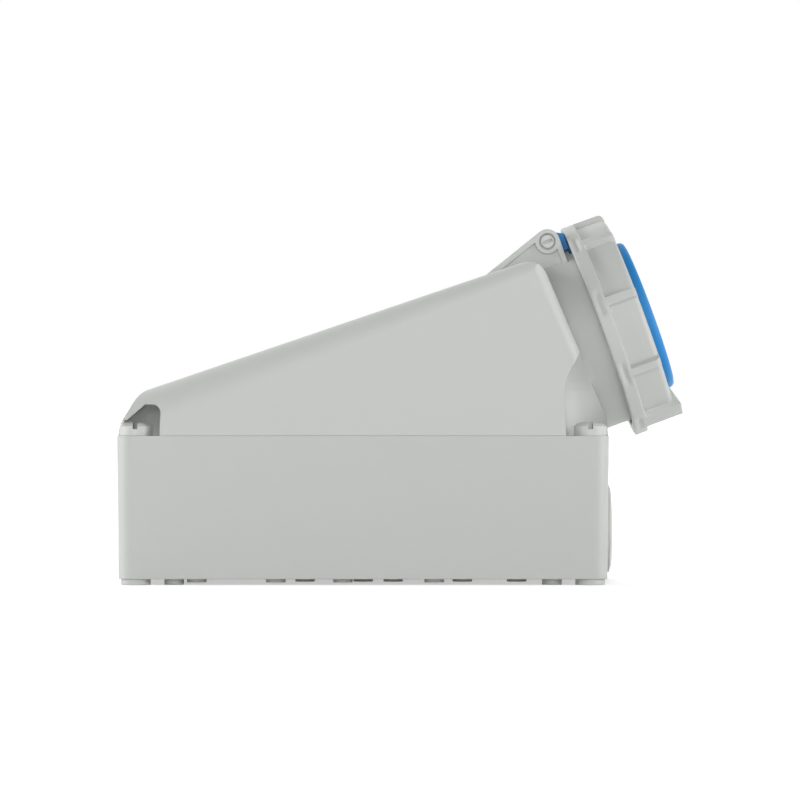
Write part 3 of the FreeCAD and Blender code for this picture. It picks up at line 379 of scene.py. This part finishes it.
@dataclass(frozen=True)
class SubAssembly:
    """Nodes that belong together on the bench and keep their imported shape, with the finish of each."""

    title: str
    finishes: dict[Slot, tuple[str, ...]]

    def dress(self, paint: Paint) -> None:
        """Give each node its finish.

        Args:
            paint: the finishes.
        """
        LOG.info("sub-assembly %s", self.title)
        for slot, names in self.finishes.items():
            for name in names:
                paint.node(name, slot)


SUB_ASSEMBLIES = (
    SubAssembly("housing shells", {
        Slot.HOUSING: ("back_box", "hood"),
        Slot.SCREW: ("cover_screws", "entry_plug", "hinge_pin"),
        Slot.SEAL: ("housing_gasket", "entry_plug_seal"),
        Slot.BRASS: ("screw_inserts",),
        Slot.STEEL: ("hinge_clip",),
    }),
    SubAssembly("contact carrier", {
        Slot.CARRIER: ("contact_carrier",),
        Slot.SEAL: ("carrier_gasket",),
        Slot.BRASS: ("earth_contact", "line_contact", "neutral_contact", "pilot_contact"),
        Slot.STEEL: ("carrier_screws", "clamp_screws"),
    }),
    SubAssembly("lid", {Slot.LID: ("lid",), Slot.SEAL: ("lid_seal",)}),
    SubAssembly("bayonet ring", {Slot.RING: ("bayonet_ring",), Slot.STEEL: ("ring_clip",)}),
)


def grid_faces(rows: int, columns: int, close_rows: bool, close_columns: bool) -> Rows:
    """Quads of a grid of points.

    A face joins point (i, j), (i, j+1), (i+1, j+1) and (i+1, j), with the indices taken round where the
    grid closes on itself.

    Args:
        rows: number of points along the first parameter.
        columns: number of points along the second parameter.
        close_rows: whether the last row joins the first.
        close_columns: whether the last column joins the first.

    Returns:
        Whole numbers, four for each face.
    """
    first, second = np.meshgrid(np.arange(rows if close_rows else rows - 1),
                                np.arange(columns if close_columns else columns - 1), indexing="ij")
    after, beside = (first + 1) % rows, (second + 1) % columns
    corners = [first * columns + second, first * columns + beside, after * columns + beside,
               after * columns + second]
    return np.stack(corners, axis=-1).reshape(-1, 4)


def solid_piece(name: str, points: Rows, faces: Rows, crease_deg: float = 35.0) -> bpy.types.Object:
    """Mesh object from points and quads, smooth except at creases.

    Args:
        name: name of the piece.
        points: places in metres, three for each point.
        faces: corner numbers of the faces.
        crease_deg: edges that bend by more stay sharp.

    Returns:
        The new object, linked to the scene, with its faces pointing outwards.
    """
    mesh = bpy.data.meshes.new(name)
    mesh.from_pydata(points.reshape(-1, 3).tolist(), [], faces.tolist())
    shell = bmesh.new()
    shell.from_mesh(mesh)
    bmesh.ops.remove_doubles(shell, verts=shell.verts, dist=WELD_MM * MM)
    bmesh.ops.recalc_face_normals(shell, faces=shell.faces)
    limit = math.radians(crease_deg)
    for edge in shell.edges:
        edge.smooth = edge.calc_face_angle(0.0) < limit
    for face in shell.faces:
        face.smooth = True
    shell.to_mesh(mesh)
    shell.free()
    item = bpy.data.objects.new(name, mesh)
    bpy.context.scene.collection.objects.link(item)
    return item


@dataclass(frozen=True)
class TiltedFrame:
    """A frame that leans with the mouth: its Z is the socket axis and its X points down."""

    origin: Triple
    out: Triple

    @classmethod
    def at(cls, joint: str) -> "TiltedFrame":
        """The frame with its origin on a joint and its Z against the axis on which the ring turns."""
        turn_axis = JOINTS["ring_turn"]["axis"]
        return cls(tuple(JOINTS[joint]["pos_m"]), tuple(-part for part in turn_axis))

    def world(self, points: Rows) -> Rows:
        """Points of this frame in the part's frame.

        world = origin + x * down + y * (0, 1, 0) + z * out, with down = (out z, 0, -out x).

        Args:
            points: places in millimetres of this frame.

        Returns:
            Places in metres of the part's frame.
        """
        out = np.array(self.out)
        down = np.array([out[2], 0.0, -out[0]])
        side = np.array([0.0, 1.0, 0.0])
        turned = points[..., :1] * down + points[..., 1:2] * side + points[..., 2:3] * out
        return np.array(self.origin) + turned * MM


def eased(value: Rows) -> Rows:
    """Smooth step from 0 to 1: 3 v^2 - 2 v^3 of the value kept between 0 and 1."""
    kept = np.clip(value, 0.0, 1.0)
    return kept * kept * (3.0 - 2.0 * kept)


@dataclass(frozen=True)
class GripRing:
    """Bayonet ring: grip ribs, a raised rear band with recesses, a long lug, claws and a clip groove.

    Axial places count in millimetres from the ring's rear end towards the mouth. An edge is a row of
    offsets: away from the wall, and along it from the face that the edge joins.
    """

    radius: float = 55.95
    body: float = 52.8
    bore: float = 50.0
    window: float = 39.9
    width: float = 22.4
    lip: float = 5.4
    round_front: float = 3.0
    bore_bevel: float = 0.4
    window_rear_edge: Offsets = ((0.4, 0.0), (0.1, 0.15), (0.0, 0.5))
    window_front_edge: Offsets = ((0.0, 0.6), (0.2, 0.15), (0.7, 0.0))
    face_shares: Steps = (0.35, 0.7)
    outer_rear_edge: Offsets = ((0.0, 0.6), (0.15, 0.2), (0.5, 0.0))
    round_step_deg: float = 11.25
    band: float = 6.7
    band_edge: Offsets = ((0.0, 0.9), (0.0, 0.35), (0.25, 0.05), (0.844, -0.05), (0.969, -0.35), (1.0, -0.8))
    rib_count: int = 9
    rib_first_deg: float = -23.5
    rib_half: float = 2.6
    rib_ramp: float = 0.9
    rib_reach: Steps = (0.8, 1.6, 2.0, 2.25, 2.5, 2.75, 3.0, 3.3, 4.2, 5.0, 5.6, 6.0, 6.4, 6.8, 7.4)
    lug_half_deg: float = 6.5
    lug_ramp_deg: float = 0.9
    lug_proud: float = 3.5
    lug_round: float = 0.8
    lug_root: float = 1.5
    lug_rise: float = 4.0
    lug_ramp_reach: float = 0.6
    lug_ramp_rows: int = 7
    claw_middles_deg: Steps = (-72.0, 108.0)
    claw_half_deg: float = 10.0
    claw_wall_deg: float = 0.05
    claw_inner: float = 45.3
    claw_span: Pair = (1.2, 4.7)
    groove_span: Pair = (9.2, 11.4)
    groove_depth: float = 0.8
    dimple_half: float = 8.2
    dimple_depth: float = 1.0
    dimple_middle: float = 3.3
    dimple_length: float = 2.1
    dimple_sharpness: float = 1.6
    dimple_span: Pair = (5.6, 1.2)
    dimple_rows: int = 12
    plain_step_deg: float = 2.0
    crease_deg: float = 40.0

    def away(self, turn: Rows, middle: float) -> Rows:
        """Shortest way in degrees from each angle to a middle one: |((a - m + 180) mod 360) - 180|."""
        return np.abs((turn - middle + 180.0) % 360.0 - 180.0)

    def rib_middles(self) -> Rows:
        """Angle of each rib's middle: first + k * 360 / count."""
        return self.rib_first_deg + 360.0 / self.rib_count * np.arange(self.rib_count)

    def rib_away(self, turn: Rows) -> Rows:
        """Millimetres round the rim from each angle to the nearest rib."""
        degrees = np.min([self.away(turn, middle) for middle in self.rib_middles()], axis=0)
        return np.radians(degrees) * self.radius

    def turns(self) -> Rows:
        """Angles of the grid, close together where the form changes.

        Returns:
            Rising angles in degrees, each once.
        """
        reach = np.array(self.rib_reach)
        near = np.degrees(np.concatenate([-reach, [0.0], reach]) / self.radius)
        ramp = np.linspace(-self.lug_ramp_reach, self.lug_ramp_reach, self.lug_ramp_rows)
        edge = self.lug_half_deg + self.lug_ramp_deg * ramp
        claw = self.claw_half_deg + np.array([-self.claw_wall_deg, self.claw_wall_deg])
        parts = [np.arange(0.0, 360.0, self.plain_step_deg), (self.rib_middles()[:, None] + near).ravel(),
                 self.rib_first_deg + np.concatenate([-edge, edge])]
        parts += [middle + np.concatenate([-claw, claw]) for middle in self.claw_middles_deg]
        return np.unique(np.round(np.concatenate(parts) % 360.0, 3))

    def inside(self, claw: Rows) -> list[tuple]:
        """Outline of the bore with its claws and groove, the shelf and the window.

        Args:
            claw: one where a claw is, otherwise zero.

        Returns:
            Pairs of radius and axial place, from the rear end to the front face.
        """
        bore, window = self.bore + 0.0 * claw, self.window + 0.0 * claw
        inner = self.bore - (self.bore - self.claw_inner) * claw
        groove = bore + self.groove_depth
        shelf = self.width - self.lip
        spots = [(bore + self.bore_bevel, 0.0), (bore, self.bore_bevel)]
        spots += [(wall, self.claw_span[0]) for wall in (bore, inner)]
        spots += [(wall, self.claw_span[1]) for wall in (inner, bore)]
        spots += [(wall, self.groove_span[0]) for wall in (bore, groove)]
        spots += [(wall, self.groove_span[1]) for wall in (groove, bore)]
        spots.append((bore, shelf))
        spots += [(window + off, shelf + along) for off, along in self.window_rear_edge]
        spots += [(window + off, self.width - along) for off, along in self.window_front_edge]
        return spots

    def outside(self, rib: Rows, lug: Rows, dimple: Rows) -> list[tuple]:
        """Outline of the front face, the ribbed wall and the raised band.

        The wall lies at body + rib * (radius - body), and the lug has a tighter front edge. The dimples
        sink into the band by depth * share.

        Args:
            rib: share of full rib height at each angle.
            lug: share of the lug at each angle.
            dimple: share of full dimple depth at each angle.

        Returns:
            Pairs of radius and axial place, from the front face to the rear end.
        """
        rim = self.radius + 0.0 * rib
        wall = self.body + (self.radius - self.body) * np.maximum(rib, lug)
        face = wall - self.round_front - self.window
        spots = [(self.window + face * share, self.width) for share in self.face_shares]
        soft = self.round_front - (self.round_front - self.lug_round) * lug
        for angle in np.radians(np.arange(90.0, -1.0, -self.round_step_deg)):
            spots.append((wall - soft * (1 - np.cos(angle)), self.width - soft * (1 - np.sin(angle))))
        spots.append((wall, 0.5 * (self.width + self.band)))
        spots += [(wall + share * (rim - wall), self.band + rise) for share, rise in self.band_edge]
        for axial in np.linspace(*self.dimple_span, self.dimple_rows):
            share = eased(1.0 - abs(axial - self.dimple_middle) / self.dimple_length)
            spots.append((rim - self.dimple_depth * dimple * share, axial))
        return spots + [(rim - off, along) for off, along in self.outer_rear_edge]

    def nose(self, places: Rows, lug: Rows) -> Rows:
        """Rise of the lug's nose: proud * eased way along the ring * share of the radius.

        Args:
            places: radius and axial place of each point.
            lug: share of the lug at each angle.

        Returns:
            Millimetres along the axis for each point.
        """
        start = self.width - self.round_front - self.lug_root
        along = eased((places[..., 1] - start) / self.lug_rise) * lug[:, None]
        across = (places[..., 0] - self.window) / (self.radius - self.window)
        return self.lug_proud * along * np.clip(across, 0.0, 1.0)

    def build(self) -> bpy.types.Object:
        """The ring as a grid of angle by outline.

        Returns:
            The object.
        """
        turn = self.turns()
        away = self.rib_away(turn)
        rib = eased((self.rib_half + self.rib_ramp / 2 - away) / self.rib_ramp)
        lug = eased((self.lug_half_deg + self.lug_ramp_deg / 2 - self.away(turn, self.rib_first_deg))
                    / self.lug_ramp_deg)
        claw = np.max([self.away(turn, middle) <= self.claw_half_deg for middle in self.claw_middles_deg],
                      axis=0).astype(float)
        dimple = eased(self.dimple_sharpness * (1.0 - away / self.dimple_half))
        spots = self.inside(claw) + self.outside(rib, lug, dimple)
        places = np.stack([np.stack(np.broadcast_arrays(*spot), axis=-1) for spot in spots], axis=1)
        places[..., 1] += self.nose(places, lug)
        angle = np.radians(turn)[:, None]
        points = np.stack([places[..., 0] * np.cos(angle), places[..., 0] * np.sin(angle), places[..., 1]],
                          axis=-1)
        faces = grid_faces(*points.shape[:2], True, True)
        return solid_piece("grip_ring", TiltedFrame.at("ring_turn").world(points), faces, self.crease_deg)

    def dress(self, paint: Paint) -> None:
        """The grip ring rides on the ring and shows in place of the plain one."""
        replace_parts(paint.piece(self.build(), Slot.RING, "ring"), "bayonet_ring")


@dataclass(frozen=True)
class EntryThread:
    """Helical thread inside the open cable entry: one ridge wound along the bore."""

    crest: float = 19.1
    root: float = 20.03
    pitch: float = 1.5
    crest_half: float = 0.10
    root_half: float = 0.46
    turns_count: float = 7.6
    start_x: float = -121.2
    height: float = 26.5
    steps: int = 72
    crease_deg: float = 25.0

    def build(self) -> bpy.types.Object:
        """The ridge: radius = crest or root over a pitch, place = start + pitch * (turns + share).

        The crest sinks to the root over a quarter of a turn at each end.

        Returns:
            The object.
        """
        count = int(self.turns_count * self.steps)
        angle = np.linspace(0.0, self.turns_count * 2 * math.pi, count)
        run_in = eased(np.minimum(angle, angle[-1] - angle) / (math.pi / 2))
        crest = self.root - (self.root - self.crest) * run_in
        root = np.full_like(angle, self.root)
        outline = ((root, -self.root_half), (crest, -self.crest_half), (crest, self.crest_half),
                   (root, self.root_half))
        rows = []
        for radius, share in outline:
            along = self.start_x + self.pitch * (angle / (2 * math.pi) + share)
            across, up = radius * np.cos(angle), self.height + radius * np.sin(angle)
            rows.append(np.stack([along, across, up], axis=-1))
        points = np.stack(rows, axis=1) * MM
        faces = grid_faces(count, len(outline), False, True)
        return solid_piece("entry_thread", points, faces, self.crease_deg)

    def dress(self, paint: Paint) -> None:
        """The thread is cut in the back box, so it has that finish."""
        paint.piece(self.build(), Slot.HOUSING, "housing")


@dataclass(frozen=True)
class HingePin:
    """Hinge pin with a flat head, and a slot in the head that ends short of the rim.

    Places along the pin count in millimetres from the middle plane of the part. The shares count from the
    pin's axis to the rim of the head.
    """

    head: float = 3.3
    shank: float = 2.0
    head_front: float = -28.3
    head_back: float = -26.9
    far_end: float = 28.5
    end_bevel: float = 0.3
    slot_width: float = 1.3
    slot_share: float = 0.8
    slot_depth: float = 1.2
    slot_wall: float = 0.01
    slot_end_share: float = 0.004
    slot_row_share: float = 0.4
    slice_step_deg: float = 7.5
    shank_step_deg: float = 10.0
    rim_edge: Offsets = ((0.9, 0.0), (0.97, 0.1), (1.0, 0.3))
    crease_deg: float = 30.0

    def head_grid(self) -> tuple[Rows, Rows]:
        """Slices across the slot, each a closed loop: u = s * sqrt(R^2 - v^2), sunk where the slot is.

        Returns:
            Points in the tilted frame and faces.
        """
        side = self.slot_width / 2
        slices = self.head * np.sin(np.radians(np.arange(-90.0, 91.0, self.slice_step_deg)))
        walls = np.array([side, side + self.slot_wall])
        across = np.unique(np.round(np.concatenate([slices, walls, -walls]), 4))
        end = self.slot_share
        half = [(self.slot_row_share, 0.0), (end, 0.0), (end + self.slot_end_share, 0.0), *self.rim_edge]
        row = [(-share, low) for share, low in reversed(half)] + [(0.0, 0.0)] + half
        loop = [(share, self.head_front + low) for share, low in row]
        loop += [(share, self.head_back) for share in (1.0, 0.0, -1.0)]
        share, depth = (np.array(column)[:, None] for column in zip(*loop))
        in_slot = np.abs(across) < side + self.slot_wall / 2
        sunk = (np.abs(share) <= end) & in_slot & (depth < self.head_back)
        reach = np.sqrt(np.maximum(self.head ** 2 - across ** 2, 0.0))
        points = np.stack([-across + 0.0 * share, depth + self.slot_depth * sunk, share * reach], axis=-1)
        return points, grid_faces(len(loop), len(across), True, False)

    def shank_grid(self) -> tuple[Rows, Rows]:
        """The shank turned about the pin's axis: (-r * sin a, along, r * cos a).

        Returns:
            Points in the tilted frame and faces.
        """
        outline = np.array([(0.0, self.head_back), (self.shank, self.head_back),
                            (self.shank, self.far_end - self.end_bevel),
                            (self.shank - self.end_bevel, self.far_end), (0.0, self.far_end)])
        angle = np.radians(np.arange(0.0, 360.0, self.shank_step_deg))[:, None]
        reach, along = outline[:, 0], outline[:, 1]
        points = np.stack([-reach * np.sin(angle), along + 0.0 * angle, reach * np.cos(angle)], axis=-1)
        return points, grid_faces(len(angle), len(outline), True, False)

    def build(self) -> bpy.types.Object:
        """Head and shank, turned so that the slot lies along the mouth's axis.

        Returns:
            The object.
        """
        (head, head_faces), (shank, shank_faces) = self.head_grid(), self.shank_grid()
        points = np.concatenate([head.reshape(-1, 3), shank.reshape(-1, 3)])
        faces = np.concatenate([head_faces, shank_faces + head.size // 3])
        return solid_piece("slotted_pin", TiltedFrame.at("lid_hinge").world(points), faces, self.crease_deg)

    def dress(self, paint: Paint) -> None:
        """The slotted pin stays in the ears of the housing and shows in place of the plain one."""
        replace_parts(paint.piece(self.build(), Slot.SCREW, "housing"), "hinge_pin")


@dataclass(frozen=True)
class Panel:
    """Soft square light panel that faces the part and that the camera doesn't see.

    Its glare is left out where shiny surfaces shouldn't mirror it.
    """

    name: str
    place: Triple
    width: float
    watts: float
    glare: bool = True

    def build(self, aim: Triple) -> None:
        """Hang the lamp.

        Args:
            aim: the point that it faces, in metres.
        """
        lamp = bpy.data.lights.new(self.name, "AREA")
        lamp.size = self.width
        lamp.energy = self.watts
        item = bpy.data.objects.new(self.name, lamp)
        item.location = self.place
        item.rotation_euler = (Vector(aim) - Vector(self.place)).to_track_quat("-Z", "Y").to_euler()
        item.visible_camera = False
        item.visible_glossy = self.glare
        bpy.context.scene.collection.objects.link(item)


PANELS = (
    Panel("panel_front", (-0.2, -2.8, 0.6), 1.2, 13.0),
    Panel("panel_left", (-2.8, -0.3, 0.8), 1.4, 38.0),
    Panel("panel_right", (2.7, -0.9, 0.8), 1.4, 34.0),
    Panel("panel_behind", (-0.4, 1.7, 2.0), 1.2, 28.0, glare=False),
)


@dataclass(frozen=True)
class Studio:
    """Floor, camera and light. Lengths are in metres apart from the focal length.

    The room lights the part with half the strength that the camera sees as white.
    """

    focal_mm: float = 200.0
    view_reach: float = 200.0
    camera_place: Triple = (0.0184, -2.267, 0.09185)
    centre: Triple = (0.02, 0.0, 0.09)
    floor_rings: Steps = (0.0, 0.2, 0.4, 0.8, 2.0, 8.0, 60.0)
    floor_step_deg: float = 7.5
    floor_glow: float = 0.5
    floor_white: float = 0.86
    shadow_end: float = 0.22
    white_start: float = 0.9
    room: float = 0.5
    ceiling_start: float = 0.45
    ceiling_end: float = 0.85
    ceiling_dark: float = 0.7

    def floor(self) -> None:
        """Round pale floor: it keeps the shadow near the part and fades to white further out."""
        turns = np.radians(np.arange(0.0, 360.0, self.floor_step_deg))
        reach, angle = np.meshgrid(np.array(self.floor_rings), turns, indexing="ij")
        points = np.stack([reach * np.cos(angle), reach * np.sin(angle), 0.0 * reach], axis=-1)
        faces = grid_faces(len(self.floor_rings), len(turns), False, True)
        item = solid_piece("floor", points, faces)
        board = Board(bpy.data.materials.new("floor_card"))
        away = board.node("ShaderNodeVectorMath", {"operation": "LENGTH"}, {0: board.spot()}, 1)
        fade = board.node("ShaderNodeMapRange", {"interpolation_type": "SMOOTHSTEP"},
                          {"Value": away, "From Min": self.shadow_end, "From Max": self.white_start})
        glow = board.camera_share() * (fade * (1.0 - self.floor_glow) + self.floor_glow)
        white = self.floor_white
        card = board.node("ShaderNodeBsdfDiffuse", {}, {"Color": (white, white, white, 1.0)})
        light = board.node("ShaderNodeEmission", {}, {"Strength": glow})
        both = board.node("ShaderNodeAddShader", {}, {0: card, 1: light})
        board.finish("ShaderNodeOutputMaterial", both)
        item.data.materials.append(board.owner)

    def lights(self) -> None:
        """A pale room with a darker ceiling, a wide panel in front and one on each side and behind."""
        board = Board(bpy.data.worlds.new("pale_room"))
        bpy.context.scene.world = board.owner
        facing = board.node("ShaderNodeTexCoord", {}, {}, "Generated")
        height = board.node("ShaderNodeSeparateXYZ", {}, {0: facing}, 2)
        ceiling = board.node("ShaderNodeMapRange", {"interpolation_type": "SMOOTHSTEP"},
                             {"Value": height, "From Min": self.ceiling_start, "From Max": self.ceiling_end})
        seen = board.camera_share() * (1.0 - self.room) + self.room
        board.finish("ShaderNodeOutputWorld", board.node("ShaderNodeBackground", {}, {
            "Color": (1.0, 1.0, 1.0, 1.0), "Strength": seen * (1.0 - ceiling * self.ceiling_dark)}))
        for panel in PANELS:
            panel.build(self.centre)

    def camera(self) -> None:
        """The camera looks along +Y from a long way off."""
        lens = bpy.data.cameras.new("camera")
        lens.lens = self.focal_mm
        lens.clip_end = self.view_reach
        item = bpy.data.objects.new("camera", lens)
        item.location = self.camera_place
        item.rotation_euler = (math.radians(90.0), 0.0, 0.0)
        bpy.context.scene.collection.objects.link(item)
        bpy.context.scene.camera = item

    def build(self) -> None:
        """Set up the whole studio."""
        self.floor()
        self.lights()
        self.camera()
        bpy.context.scene.view_settings.view_transform = "Standard"


def main() -> None:
    """Build the studio and every piece."""
    logging.basicConfig(level=logging.INFO, format="%(message)s")
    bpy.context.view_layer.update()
    Studio().build()
    paint = Paint()
    for group in (*SUB_ASSEMBLIES, GripRing(), EntryThread(), HingePin()):
        group.dress(paint)


if __name__ == "__main__":
    main()
